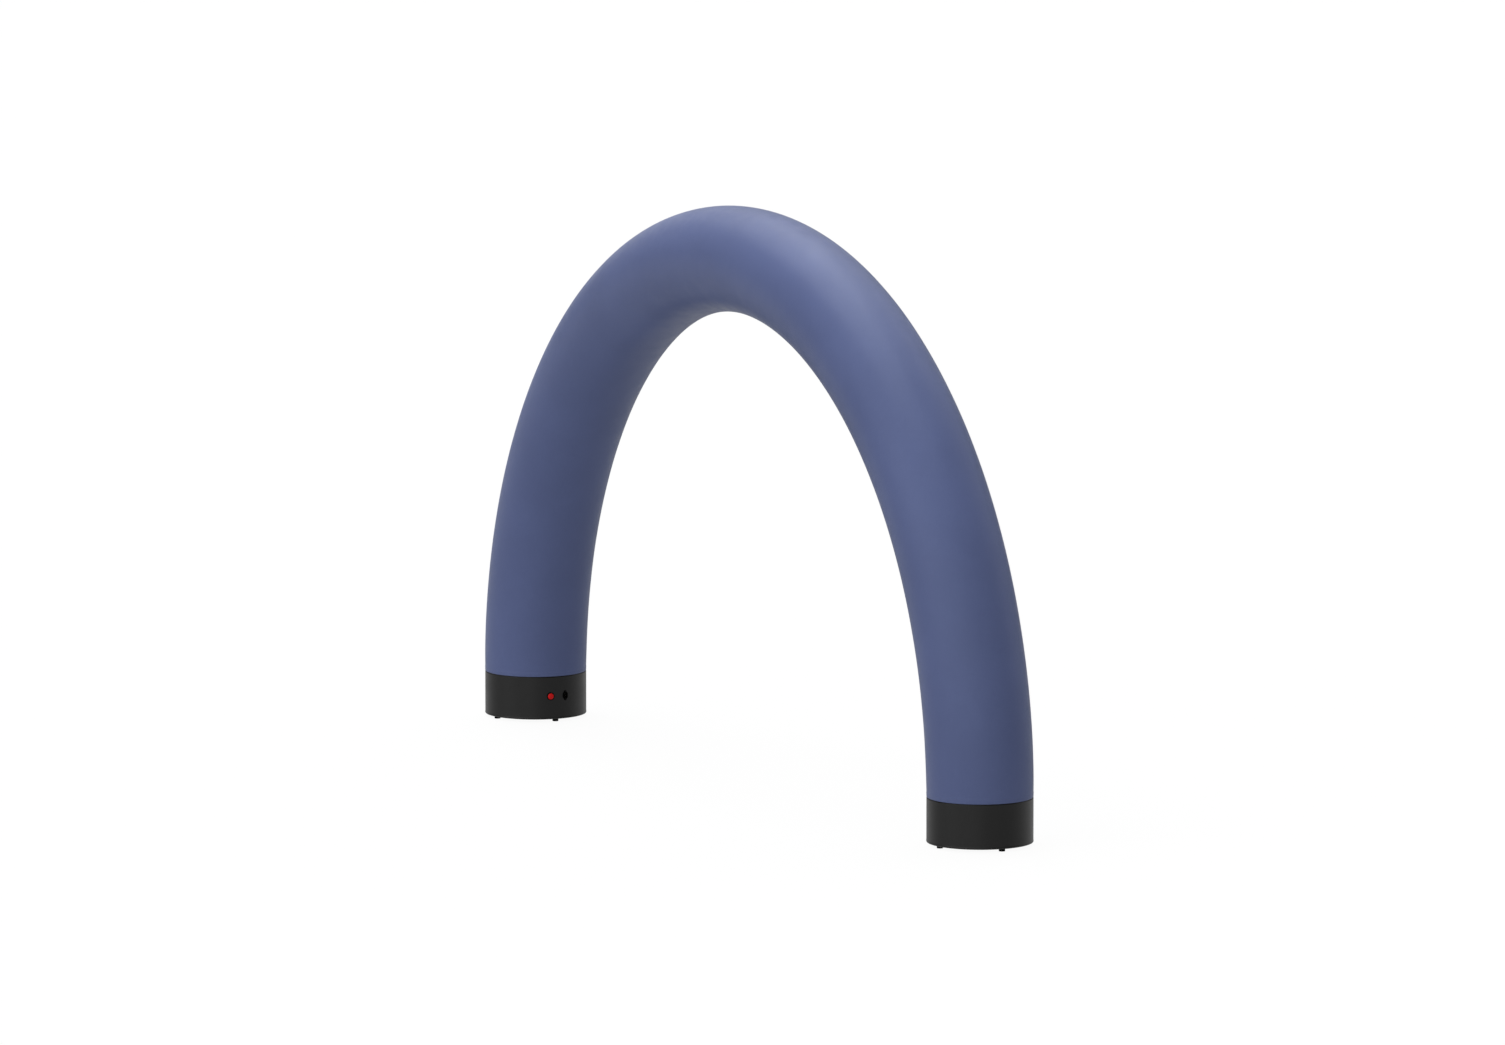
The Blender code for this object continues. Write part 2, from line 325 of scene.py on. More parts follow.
def dress(tree, shader, colour, roughness=None, normal=None):
    """Links a material's colour, roughness and relief to its shader."""
    for name, output in (("Base Color", colour), ("Roughness", roughness), ("Normal", normal)):
        if output:
            tree.links.new(output, shader.inputs[name])


def cloth_material(cloth):
    """Coated plain-weave cloth. The map's first axis runs along the tube and the second round it,
    both in metres."""
    bluish = (0.72, 0.80, 1.0, 1.0)
    material, tree, shader = new_material(
        "coated_cloth",
        cloth.colour,
        0.35,
        Specular_IOR_Level=0.22,
        Specular_Tint=bluish,
        Sheen_Weight=0.02,
        Sheen_Roughness=0.45,
        Sheen_Tint=bluish,
    )
    place = add_node(tree, "ShaderNodeUVMap", uv_map="cloth_map").outputs[0]
    apart = add_node(tree, "ShaderNodeSeparateXYZ", {"Vector": place}).outputs
    waves = math.pi / cloth.thread_pitch
    over = sums(tree, "SINE", product(tree, apart["X"], waves))
    under = sums(tree, "SINE", product(tree, apart["Y"], waves))
    weave = product(tree, over, under)
    long, fine = 18.0, 950.0  # slubs to the metre, along a thread and across it
    warp = noise(tree, stretched(tree, place, (long, fine, 1.0)), detail=1.0)
    weft = noise(tree, stretched(tree, place, (fine, long, 1.0)), detail=1.0)
    slubs = average(tree, warp, weft)
    solid = object_place(tree)
    clouds = noise(tree, solid, scale=2.3, detail=3.0)
    handling = noise(tree, solid, scale=11.0, detail=4.0, roughness=0.62)
    tone = faded(tree, average(tree, slubs, clouds), 0.35, 0.65)
    # Painted shade: the gaps between threads are painted darker and the thread tops lighter, on top of the
    # random tone.
    painted_weave_shade = faded(tree, sums(tree, "ABSOLUTE", weave), 0.0, 0.5)
    colour = tinted(tree, average(tree, tone, painted_weave_shade), cloth.colour, 0.86, 1.10)
    worn = faded(tree, handling, 0.35, 0.70, 0.31, 0.39)
    relief = total(tree, product(tree, weave, 0.5), slubs)
    threads = bump(tree, relief, cloth.thread_pitch * 0.14, 0.8)
    dress(tree, shader, colour, worn, bump(tree, handling, 0.0006, 0.5, threads))
    return material


def thread_material(cloth):
    """Spun polyester thread: fine fibres lying along each stitch."""
    material, tree, shader = new_material("hem_thread", cloth.thread_colour, 0.7, Sheen_Weight=0.25)
    fibres = noise(tree, stretched(tree, object_place(tree), (900.0, 900.0, 3600.0)))
    colour = tinted(tree, fibres, cloth.thread_colour, 0.8, 1.2)
    dress(tree, shader, colour, normal=bump(tree, fibres, 0.0002, 0.6))
    return material


def enamel_material(drums):
    """Dark grey powder coat: fine orange peel, a little dust low down, rims rubbed slightly."""
    dust_colour, dust_height = (0.020, 0.019, 0.018), 0.035
    rubbed_colour = (0.018, 0.018, 0.019)
    rims = ((BASE_BOTTOM + 0.0035, 0.004), (BASE_BOTTOM + BASE_HEIGHT, 0.0025))  # height and reach
    material, tree, shader = new_material(
        "dark_enamel", drums.enamel, 0.35, Specular_IOR_Level=0.40, Coat_Weight=0.3, Coat_Roughness=0.35
    )
    solid = object_place(tree)
    height = add_node(tree, "ShaderNodeSeparateXYZ", {"Vector": solid}).outputs["Z"]
    grain = noise(tree, solid, scale=1500.0, detail=1.0)
    peel = noise(tree, solid, scale=420.0, roughness=0.4)
    clouds = noise(tree, solid, scale=9.0, detail=4.0, roughness=0.6)
    specks = noise(tree, solid, scale=260.0, detail=3.0, roughness=0.7)
    patches = noise(tree, solid, scale=55.0, detail=4.0, roughness=0.65)
    base = tinted(tree, faded(tree, clouds, 0.3, 0.7), drums.enamel, 0.93, 1.07)
    low = faded(tree, height, BASE_BOTTOM + dust_height, BASE_BOTTOM)
    dust = product(tree, low, faded(tree, specks, 0.50, 0.72, 0.0, 0.16))
    base = mixed(tree, dust, base, dust_colour)
    edges = []
    for level, reach in rims:
        away = sums(tree, "ABSOLUTE", sums(tree, "SUBTRACT", height, level))
        edges.append(faded(tree, away, reach, 0.0))
    rubbed = product(tree, sums(tree, "MAXIMUM", *edges), faded(tree, patches, 0.48, 0.66, 0.0, 0.35))
    base = mixed(tree, rubbed, base, rubbed_colour)
    scuffs = faded(tree, average(tree, clouds, specks), 0.35, 0.65, 0.30, 0.40)
    fine = bump(tree, grain, 0.00014, 0.5)
    dress(tree, shader, base, scuffs, bump(tree, peel, 0.00025, 0.35, fine))
    return material


def rubber_material(drums):
    """Moulded black rubber with a dull bloom."""
    material, tree, shader = new_material("foot_rubber", drums.rubber, 0.82, Specular_IOR_Level=0.12)
    solid = object_place(tree)
    bloom = noise(tree, solid, scale=180.0, detail=4.0, roughness=0.6)
    grain = noise(tree, solid, scale=1400.0)
    colour = tinted(tree, bloom, drums.rubber, 0.7, 1.5)
    dull = faded(tree, bloom, 0.3, 0.7, 0.74, 0.90)
    dress(tree, shader, colour, dull, bump(tree, grain, 0.0002, 0.5))
    return material


def plastic_material(name, colour, roughness, gloss, texture=0.4):
    """Moulded plastic with a fine spark-eroded grain and faint handling marks."""
    material, tree, shader = new_material(name, colour, roughness, Specular_IOR_Level=gloss)
    solid = object_place(tree)
    grain = noise(tree, solid, scale=2600.0)
    marks = noise(tree, solid, scale=140.0, detail=4.0, roughness=0.65)
    tint = tinted(tree, marks, colour, 0.88, 1.12)
    handled = faded(tree, marks, 0.3, 0.7, roughness - 0.05, roughness + 0.07)
    dress(tree, shader, tint, handled, bump(tree, grain, 0.00008, texture))
    return material


def metal_material(name, colour, roughness):
    """Plated metal with fine drawing marks."""
    material, tree, shader = new_material(name, colour, roughness, Metallic=1.0)
    drawn = noise(tree, stretched(tree, object_place(tree), (400.0, 4000.0, 4000.0)))
    tint = tinted(tree, drawn, colour, 0.85, 1.1)
    dress(tree, shader, tint, faded(tree, drawn, 0.3, 0.7, roughness - 0.06, roughness + 0.08))
    return material


# ---- Helpers for meshes


def new_object(name, data):
    """An object in the scene's own collection, at the origin."""
    made = bpy.data.objects.new(name, data)
    bpy.context.scene.collection.objects.link(made)
    return made


def add_piece(name, mesh, body, replaced=(), material=None):
    """A finished piece: at the origin, riding on a body, standing for the CAD nodes it replaces."""
    mesh.name = name
    if material:
        mesh.materials.clear()
        mesh.materials.append(material)
    piece = new_object(name, mesh)
    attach(piece, body)
    if replaced:
        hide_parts(*replaced)
    return piece


def arc(centre_x, centre_z, radius, start, end, steps=6):
    """Points of a part of a circle in a profile, both ends included."""
    turns = [start + (end - start) * i / steps for i in range(steps + 1)]
    return [(centre_x + radius * math.cos(t), centre_z + radius * math.sin(t)) for t in turns]


def turned_mesh(name, profile, sides):
    """A closed profile line of (radius, height) points, spun about Z. It starts and ends on the axis."""
    solid = bmesh.new()
    corners = [solid.verts.new((x, 0.0, z)) for x, z in profile]
    line = [solid.edges.new(pair) for pair in zip(corners, corners[1:])]
    bmesh.ops.spin(
        solid,
        geom=corners + line,
        cent=(0.0, 0.0, 0.0),
        axis=(0.0, 0.0, 1.0),
        angle=math.tau,
        steps=sides,
        use_merge=True,
    )
    bmesh.ops.remove_doubles(solid, verts=solid.verts, dist=SAME_SPOT)
    bmesh.ops.recalc_face_normals(solid, faces=solid.faces)
    return written(name, solid)


def smoothed(mesh, crease=SMOOTH_BELOW):
    """The same mesh, shaded smooth but for its sharp edges."""
    mesh.shade_smooth()
    mesh.set_sharp_from_angle(angle=crease)
    return mesh


def written(name, solid):
    """A mesh from a finished bmesh, which it uses up."""
    mesh = bpy.data.meshes.new(name)
    solid.to_mesh(mesh)
    solid.free()
    return smoothed(mesh)


def prism(name, outline, low, high, bevel=0.0):
    """A flat outline made solid between two heights, with its front edges rounded."""
    solid = bmesh.new()
    floor = solid.faces.new([solid.verts.new((x, y, low)) for x, y in outline])
    lid = bmesh.ops.extrude_face_region(solid, geom=[floor])["geom"]
    raised = [v for v in lid if isinstance(v, bmesh.types.BMVert)]
    bmesh.ops.translate(solid, verts=raised, vec=(0.0, 0.0, high - low))
    bmesh.ops.recalc_face_normals(solid, faces=solid.faces)
    if bevel:
        rim = [e for e in solid.edges if all(v in raised for v in e.verts)]
        bmesh.ops.bevel(solid, geom=rim, offset=bevel, segments=3, profile=0.5, affect="EDGES")
    return written(name, solid)


def round_outline(radius, sides):
    """A circle's corners, in order against the clock."""
    turns = [math.tau * i / sides for i in range(sides)]
    return [(radius * math.cos(t), radius * math.sin(t)) for t in turns]


def box_outline(half_width, half_length):
    """A box's corners, in order against the clock."""
    x, y = half_width, half_length
    return [(-x, -y), (x, -y), (x, y), (-x, y)]


def rounded_outline(corners, radius, steps):
    """An outline whose corners, in order against the clock, are rounded."""
    made = []
    count = len(corners)
    for i, corner in enumerate(corners):
        here = Vector(corner)
        before = (Vector(corners[i - 1]) - here).normalized()
        after = (Vector(corners[(i + 1) % count]) - here).normalized()
        half = before.angle(after) / 2
        centre = here + (before + after).normalized() * (radius / math.sin(half))
        first = here + before * (radius / math.tan(half)) - centre
        sweep = math.pi - 2 * half
        for k in range(steps + 1):
            spin = Matrix.Rotation(sweep * k / steps, 2)
            made.append(tuple(centre + spin @ first))
    return made


def carve(mesh, tools, operation="DIFFERENCE"):
    """The mesh after an exact Boolean with each tool in turn."""
    target = new_object("carved", mesh)
    helpers = []
    for tool in tools:
        helper = new_object("tool", tool)
        helpers.append(helper)
        change = target.modifiers.new("cut", "BOOLEAN")
        change.operation = operation
        change.solver = "EXACT"
        change.object = helper
    bpy.context.view_layer.update()
    graph = bpy.context.evaluated_depsgraph_get()
    made = bpy.data.meshes.new_from_object(target.evaluated_get(graph), depsgraph=graph)
    for spent in [target, *helpers]:
        bpy.data.objects.remove(spent)
    return smoothed(made)


def on_drum(angle):
    """Places a control on the far drum's side: its Z axis points straight out, its Y axis up."""
    upright = Matrix(((0, 0, 1, 0), (1, 0, 0, 0), (0, 1, 0, 0), (0, 0, 0, 1)))
    spot = Matrix.Translation((BASE_RADIUS, 0.0, CONTROL_HEIGHT))
    stand = Matrix.Translation((-LEG_X, 0.0, BASE_BOTTOM))
    return stand @ Matrix.Rotation(angle, 4, "Z") @ spot @ upright


# ---- The cloth tube

TUBE_ROWS = 280
TUBE_SIDES = 160
HEM_LAYER = 0.0006  # how far the hem's second layer stands out
HEM_STEP = 0.004  # the height over which that layer ends
HEM_CREASE = math.radians(50.0)
SEAM_MERGE = 0.00001  # the tube's corners closer than this are one
PUCKER_DEPTH = 0.0008
THREAD_THICKNESS = 0.0011


def build_tube(tree, given):
    """A grid wrapped round the half circle. Its rows close up towards the hems."""
    rows, sides = total(tree, given["Rows"], 1.0), total(tree, given["Sides"], 1.0)
    sockets = {"Size X": 1.0, "Size Y": 1.0, "Vertices X": rows, "Vertices Y": sides}
    grid = add_node(tree, "GeometryNodeMeshGrid", sockets)
    spot = add_node(tree, "GeometryNodeInputPosition").outputs[0]
    spot = add_node(tree, "ShaderNodeSeparateXYZ", {"Vector": spot}).outputs
    along = total(tree, spot["X"], 0.5)
    around = total(tree, spot["Y"], 0.5)

    # The turn goes from 0 at the near hem to pi at the far one. The map's join is on the +Y side.
    crowding = 0.9
    wave = sums(tree, "SINE", product(tree, along, math.tau))
    spread = sums(tree, "SUBTRACT", along, product(tree, wave, crowding / math.tau))
    turn = product(tree, spread, math.pi)
    angle = sums(tree, "MULTIPLY_ADD", around, math.tau, 3 * QUARTER)
    cosine, sine = sums(tree, "COSINE", angle), sums(tree, "SINE", angle)
    left = sums(tree, "MINIMUM", turn, sums(tree, "SUBTRACT", math.pi, turn))
    from_hem = product(tree, left, given["Arch Radius"])

    # The crown swells, the hems draw the cloth in, and their second layer stands out.
    swell = product(tree, sums(tree, "SINE", turn), given["Crown Swell"])
    away = sums(tree, "DIVIDE", from_hem, given["Hem Reach"])
    faint = sums(tree, "EXPONENT", product(tree, away, -1.0))
    drawn = product(tree, faint, given["Hem Draw"])
    radius = sums(tree, "SUBTRACT", total(tree, given["Tube Radius"], swell), drawn)
    hem_end = total(tree, given["Hem Depth"], HEM_STEP)
    doubled = faded(tree, from_hem, given["Hem Depth"], hem_end, HEM_LAYER, 0.0)
    radius = total(tree, radius, doubled)

    # Soft hollows, longer than wide, start above the hems. Narrow puckers wear off above them.
    hollow_run, pucker_run = 3.2, 0.8
    calm_below, full_above = 0.02, 0.25
    place = combined(tree, cosine, sine, product(tree, turn, hollow_run))
    hollows = sums(tree, "SUBTRACT", noise(tree, place, scale=1.6), 0.5)
    hollows = product(tree, product(tree, hollows, given["Slackness"]), 2.0)
    hollows = product(tree, hollows, faded(tree, from_hem, calm_below, full_above))
    place = combined(tree, cosine, sine, product(tree, turn, pucker_run))
    puckers = sums(tree, "SUBTRACT", noise(tree, place, scale=9.0, detail=1.0), 0.5)
    puckers = product(tree, product(tree, puckers, faint), PUCKER_DEPTH)
    radius = total(tree, radius, total(tree, hollows, puckers))

    reach = total(tree, given["Arch Radius"], product(tree, radius, cosine))
    x = product(tree, reach, sums(tree, "COSINE", turn))
    y = product(tree, product(tree, radius, sine), -1.0)
    z = total(tree, product(tree, reach, sums(tree, "SINE", turn)), given["Springing"])

    length = product(tree, turn, given["Arch Radius"])
    girth = product(tree, around, product(tree, given["Tube Radius"], math.tau))
    flat = combined(tree, length, girth, 0.0)
    sockets = {"Geometry": grid.outputs["Mesh"], "Name": "cloth_map", "Value": flat}
    mapped = add_node(
        tree, "GeometryNodeStoreNamedAttribute", sockets, data_type="FLOAT2", domain="CORNER"
    )
    sockets = {"Geometry": mapped.outputs[0], "Position": combined(tree, x, y, z)}
    wrapped = add_node(tree, "GeometryNodeSetPosition", sockets)
    sockets = {"Geometry": wrapped.outputs[0], "Distance": SEAM_MERGE}
    closed = add_node(tree, "GeometryNodeMergeByDistance", sockets)
    end_tree(tree, closed.outputs[0], given["Cloth"])


def roll_hems(mesh, fold):
    """Folds both lower edges in and up over the necks, and closes the tube above them."""
    solid = bmesh.new()
    solid.from_mesh(mesh)
    edges = [e for e in solid.edges if e.is_boundary]
    sleeve_start = 0.012
    path = [(x - fold, z) for x, z in arc(0.0, fold, fold, 0.0, -math.pi)]
    path += [(-2 * fold, sleeve_start), (-2 * fold, SLEEVE_DEPTH)]
    legs = {}
    for edge in edges:
        for corner in edge.verts:
            axis = Vector((math.copysign(LEG_X, corner.co.x), 0.0))
            legs[corner] = (axis, corner.co.xy - axis)
    for number, (inset, rise) in enumerate(path):
        if number:
            made = bmesh.ops.extrude_edge_only(solid, edges=edges)["geom"]
            edges = [e for e in made if isinstance(e, bmesh.types.BMEdge)]
            moved = {}
            for corner in {v for e in edges for v in e.verts}:
                old = next(e.other_vert(corner) for e in corner.link_edges if e.other_vert(corner) in legs)
                moved[corner] = legs[old]
            legs = moved
        for corner, (axis, outward) in legs.items():
            corner.co.xy = axis + outward * (1.0 + inset / outward.length)
            corner.co.z = SPRINGING + rise
    bmesh.ops.holes_fill(solid, edges=[e for e in solid.edges if e.is_boundary])
    bmesh.ops.recalc_face_normals(solid, faces=solid.faces)
    solid.to_mesh(mesh)
    solid.free()
    smoothed(mesh, HEM_CREASE)


def build_stitches(tree, given):
    """Two rows of stitches round each leg, each stitch a small drawn-out bead of thread."""
    loop = add_node(tree, "GeometryNodeMeshUVSphere", {"Segments": 6, "Rings": 4, "Radius": 0.5})
    size = combined(tree, given["Thickness"], given["Length"], given["Thickness"])
    rows = add_node(tree, "GeometryNodeJoinGeometry")
    for row in ("Lower", "Upper"):
        sockets = {"Vertices": given["Count"], "Radius": given[f"{row} Radius"]}
        ring = add_node(tree, "GeometryNodeMeshCircle", sockets)
        outward = {"Vector": add_node(tree, "GeometryNodeInputPosition").outputs[0]}
        turned = add_node(tree, "FunctionNodeAlignRotationToVector", outward, axis="X", pivot_axis="Z")
        bead = loop.outputs["Mesh"]
        sewn = on_points(tree, ring.outputs["Mesh"], bead, Rotation=turned.outputs[0], Scale=size)
        place_on_legs(tree, rows, sewn, given["Leg Distance"], given[f"{row} Row"])
    end_tree(tree, rows.outputs[0], given["Thread"])


def place_on_legs(tree, group, geometry, distance, height):
    """Adds geometry made about the origin to a group twice, once on each leg's axis."""
    for side in (-1.0, 1.0):
        spot = combined(tree, product(tree, distance, side), 0.0, height)
        sockets = {"Geometry": geometry.outputs[0], "Translation": spot}
        moved = add_node(tree, "GeometryNodeTransform", sockets)
        tree.links.new(moved.outputs[0], group.inputs[0])


def hem_radius(cloth, height):
    """The cloth's radius at a height above its lower edge, with the hem's second layer."""
    return cloth.tube_radius - cloth.hem_draw * math.exp(-height / cloth.hem_reach) + HEM_LAYER


class ARCH_OT_add_tube(bpy.types.Operator):
    """Adds the cloth tube with its rolled hems"""

    bl_idname = "arch.add_tube"
    bl_label = "Add Cloth Tube"
    bl_options = {"REGISTER", "UNDO"}

    def execute(self, context):
        cloth = context.scene.arch.cloth
        mesh = grown_mesh(
            "cloth_tube",
            build_tube,
            {
                "Arch Radius": LEG_X,
                "Springing": SPRINGING,
                "Tube Radius": cloth.tube_radius,
                "Crown Swell": cloth.crown_swell,
                "Hem Draw": cloth.hem_draw,
                "Hem Reach": cloth.hem_reach,
                "Hem Depth": cloth.hem_depth,
                "Slackness": cloth.slackness,
                "Rows": TUBE_ROWS,
                "Sides": TUBE_SIDES,
                "Cloth": cloth_material(cloth),
            },
        )
        roll_hems(mesh, cloth.hem_fold)
        tube = add_piece("cloth_tube", mesh, "arch", ["arch_skin"])
        return {"FINISHED"}


class ARCH_OT_add_stitches(bpy.types.Operator):
    """Sews two rows of stitches round each hem"""

    bl_idname = "arch.add_stitches"
    bl_label = "Add Hem Stitches"
    bl_options = {"REGISTER", "UNDO"}

    def execute(self, context):
        cloth = context.scene.arch.cloth
        lower, below_top, stitch_share = 0.007, 0.003, 0.78
        upper = cloth.hem_depth - below_top
        girth = math.tau * cloth.tube_radius
        mesh = grown_mesh(
            "hem_stitches",
            build_stitches,
            {
                "Leg Distance": LEG_X,
                "Lower Radius": hem_radius(cloth, lower),
                "Upper Radius": hem_radius(cloth, upper),
                "Lower Row": SPRINGING + lower,
                "Upper Row": SPRINGING + upper,
                "Count": round(girth / cloth.stitch_pitch),
                "Length": cloth.stitch_pitch * stitch_share,
                "Thickness": THREAD_THICKNESS,
                "Thread": thread_material(cloth),
            },
        )
        add_piece("hem_stitches", mesh, "arch")
        return {"FINISHED"}


# ---- The drums and their feet

DRUM_SIDES = 240
HOLE_SIDES = 48
FOOT_SIDES = 40
NECK_FILLET = 0.0008
BEAD_POINTS = ((0.0, 0.0065), (0.5, 0.0050), (1.0, 0.0035))  # share of the bead, height over the round


def drum_profile(drums):
    """A cup, from the middle of its floor up the inside, over the neck and down the outside to the
    rolled lower rim."""
    corner = drums.bottom_round
    bevel = drums.shoulder_bevel
    half_wall = BASE_WALL / 2
    under = BASE_HEIGHT - BASE_WALL
    rim = BASE_HEIGHT + NECK_HEIGHT
    inside = [(0.0, BASE_WALL)]
    inside += arc(BASE_RADIUS - corner, corner, corner - BASE_WALL, -QUARTER, 0.0)
    inside += [(BASE_RADIUS - BASE_WALL, under), (NECK_RADIUS - BASE_WALL, under)]
    neck = arc(NECK_RADIUS - half_wall, rim - half_wall, half_wall, math.pi, 0.0)
    neck += [(NECK_RADIUS, BASE_HEIGHT + NECK_FILLET), (NECK_RADIUS + NECK_FILLET, BASE_HEIGHT)]
    shoulder = arc(BASE_RADIUS - bevel, BASE_HEIGHT - bevel, bevel, QUARTER, 0.0)
    bead = [(BASE_RADIUS + share * drums.bead, corner + rise) for share, rise in BEAD_POINTS]
    bottom = arc(BASE_RADIUS + drums.bead - corner, corner, corner, 0.0, -QUARTER)
    return inside + neck + shoulder + bead + bottom + [(0.0, 0.0)]


def true_wall(mesh, centre):
    """Shades the drum's upright wall as a true cylinder, also between the corners of its cut-outs."""
    normals = []
    for corner, shaded in zip(mesh.loops, mesh.corner_normals):
        outward = mesh.vertices[corner.vertex_index].co - centre
        outward.z = 0.0
        on_wall = abs(outward.length - BASE_RADIUS) < WALL_TOLERANCE
        outward.normalize()
        facing = shaded.vector.dot(outward) > math.cos(SMOOTH_BELOW)
        normals.append(outward if on_wall and facing else shaded.vector.copy())
    mesh.normals_split_custom_set(normals)


class ARCH_OT_add_drums(bpy.types.Operator):
    """Adds the two drum bases, the far one cut out for its controls"""

    bl_idname = "arch.add_drums"
    bl_label = "Add Drums"
    bl_options = {"REGISTER", "UNDO"}

    def execute(self, context):
        drums = context.scene.arch.drums
        controls = context.scene.arch.controls
        enamel = enamel_material(drums)
        for side, sign in (("near", 1.0), ("far", -1.0)):
            mesh = turned_mesh(f"drum_{side}", drum_profile(drums), DRUM_SIDES)
            mesh.transform(Matrix.Translation((sign * LEG_X, 0.0, BASE_BOTTOM)))
            if side == "far":
                ring = round_outline(BARREL_RADIUS + HOLE_GAP, HOLE_SIDES)
                hole = prism("button_hole", ring, -CUT_DEPTH, CUT_PAST)
                hole.transform(on_drum(controls.button_angle))
                box = box_outline(BODY_WIDTH / 2 + HOLE_GAP, BODY_LENGTH / 2 + HOLE_GAP)
                slot = prism("inlet_hole", box, -CUT_DEPTH, CUT_PAST)
                slot.transform(on_drum(controls.inlet_angle))
                mesh = carve(mesh, [hole, slot])
            true_wall(mesh, Vector((sign * LEG_X, 0.0, 0.0)))
            add_piece(f"drum_{side}", mesh, "arch", [f"base_{side}"], enamel)
        return {"FINISHED"}


def build_feet(tree, given):
    """Feet on a circle under each drum, each a turned buffer standing on the floor."""
    sockets = {"Vertices": given["Count"], "Radius": given["Circle Radius"]}
    ring = add_node(tree, "GeometryNodeMeshCircle", sockets)
    foot = add_node(tree, "GeometryNodeObjectInfo", {"Object": given["Foot"]}, transform_space="ORIGINAL")
    stood = on_points(tree, ring.outputs["Mesh"], foot.outputs["Geometry"])
    both = add_node(tree, "GeometryNodeJoinGeometry")
    place_on_legs(tree, both, stood, given["Leg Distance"], 0.0)
    end_tree(tree, both.outputs[0], given["Rubber"])


def foot_profile(radius, height):
    """A slightly tapered buffer with rounded edges and a countersunk screw hole underneath."""
    soft, taper = 0.0009, 0.0003
    hole, depth, countersink = 0.0042, 0.0055, 0.0012
    side = arc(radius - soft, height - soft, soft, QUARTER, 0.0)
    side += arc(radius - taper - soft, soft, soft, 0.0, -QUARTER)
    well = [(hole + countersink, 0.0), (hole, countersink), (hole, depth), (0.0, depth)]
    return [(0.0, height), *side, *well]


class ARCH_OT_add_feet(bpy.types.Operator):
    """Adds the rubber feet under both drums"""

    bl_idname = "arch.add_feet"
    bl_label = "Add Feet"
    bl_options = {"REGISTER", "UNDO"}

    def execute(self, context):
        radius = (FOOT_HIGH.x - FOOT_LOW.x) / 2
        circle = (FOOT_HIGH.x + FOOT_LOW.x) / 2 - LEG_X
        foot = turned_mesh("foot", foot_profile(radius, FOOT_HIGH.z), FOOT_SIDES)
        one = bpy.data.objects.new("foot", foot)
        mesh = grown_mesh(
            "rubber_feet",
            build_feet,
            {
                "Leg Distance": LEG_X,
                "Circle Radius": circle,
                "Count": len(FEET) // 2,
                "Foot": one,
                "Rubber": rubber_material(context.scene.arch.drums),
            },
        )
        bpy.data.objects.remove(one)
        mesh.set_sharp_from_angle(angle=SMOOTH_BELOW)
        add_piece("rubber_feet", mesh, "arch", FEET)
        return {"FINISHED"}


# ---- The push button

BEZEL_RADIUS = 0.0195
BEZEL_HEIGHT = 0.004
BARREL_RADIUS = 0.0175
BARREL_DEPTH = 0.020
BARREL_FLOOR = 0.0025
BORE_RADIUS = 0.0155
CAP_RADIUS = 0.0150
CAP_RIM = 0.0046
CAP_CROWN = 0.0085
CAP_DEPTH = 0.010
CONTROL_SIDES = 96


def bezel_profile():
    """A cup behind the drum's wall, whose ring laps over the wall's face with rounded edges."""
    floor = -BARREL_DEPTH + BARREL_FLOOR
    soft = 0.0010
    inside = [(0.0, floor), (BORE_RADIUS, floor)]
    lip = arc(BORE_RADIUS + soft, BEZEL_HEIGHT - soft, soft, math.pi, QUARTER)
    brow = arc(BEZEL_RADIUS - 2 * soft, BEZEL_HEIGHT - 2 * soft, 2 * soft, QUARTER, 0.0)
    back = [(BEZEL_RADIUS, FACE_GAP), (BARREL_RADIUS, FACE_GAP), (BARREL_RADIUS, -BARREL_DEPTH)]
    return inside + lip + brow + back + [(0.0, -BARREL_DEPTH)]


def cap_profile():
    """A plunger with a domed front, a soft edge and a plain skirt."""
    soft = 0.0008
    rise = CAP_CROWN - CAP_RIM
    sphere = (CAP_RADIUS**2 + rise**2) / (2 * rise)
    edge = math.acos((CAP_RADIUS - soft) / sphere)
    dome = arc(0.0, CAP_CROWN - sphere, sphere, QUARTER, edge, 12)
    rim = [(CAP_RADIUS - soft / 4, CAP_RIM - soft / 2), (CAP_RADIUS, CAP_RIM - soft * 1.5)]
    return [(0.0, CAP_CROWN), *dome[1:], *rim, (CAP_RADIUS, -CAP_DEPTH), (0.0, -CAP_DEPTH)]


class ARCH_OT_add_button(bpy.types.Operator):
    """Adds the push button: a black ring and the red cap that moves in it"""

    bl_idname = "arch.add_button"
    bl_label = "Add Push Button"
    bl_options = {"REGISTER", "UNDO"}

    def execute(self, context):
        controls = context.scene.arch.controls
        spot = on_drum(controls.button_angle)
        ring = turned_mesh("button_ring", bezel_profile(), CONTROL_SIDES)
        ring.transform(spot)
        black = plastic_material("ring_plastic", controls.plastic, 0.42, 0.08)
        add_piece("button_ring", ring, "arch", ["button_bezel"], black)
        cap = turned_mesh("button_dome", cap_profile(), CONTROL_SIDES)
        cap.transform(spot)
        red = plastic_material("red_plastic", controls.red, 0.36, 0.22, 0.25)
        add_piece("button_dome", cap, "button", ["button_cap"], red)
        return {"FINISHED"}


# ---- The mains inlet

INLET_LENGTH = 0.050
INLET_WIDTH = 0.028
INLET_FLANGE = 0.003
INLET_TIP = 0.005
INLET_SHOULDER = 0.009
BODY_WIDTH = 0.0205
BODY_LENGTH = 0.0275
BODY_DEPTH = 0.020
BODY_INSET = 0.001
RECESS_WIDTH = 0.0165
RECESS_LENGTH = 0.0242
RECESS_CORNER = 0.0045
RECESS_DEPTH = 0.016
EDGE_ROUND = 0.0008
SCREW_HEAD = 0.0027
SCREW_SIDES = 32
SCREW_TURNS = (0.35, 0.9)  # the first screw's turn, and how much further the next is turned
SEAT_GAP = 0.0001
PIN_ROUND = 0.0004
PIN_SIZE = (0.0020, 0.0040, 0.0135)
PIN_SPOTS = ((-0.0018, -0.0070), (0.0022, 0.0), (-0.0018, 0.0070))


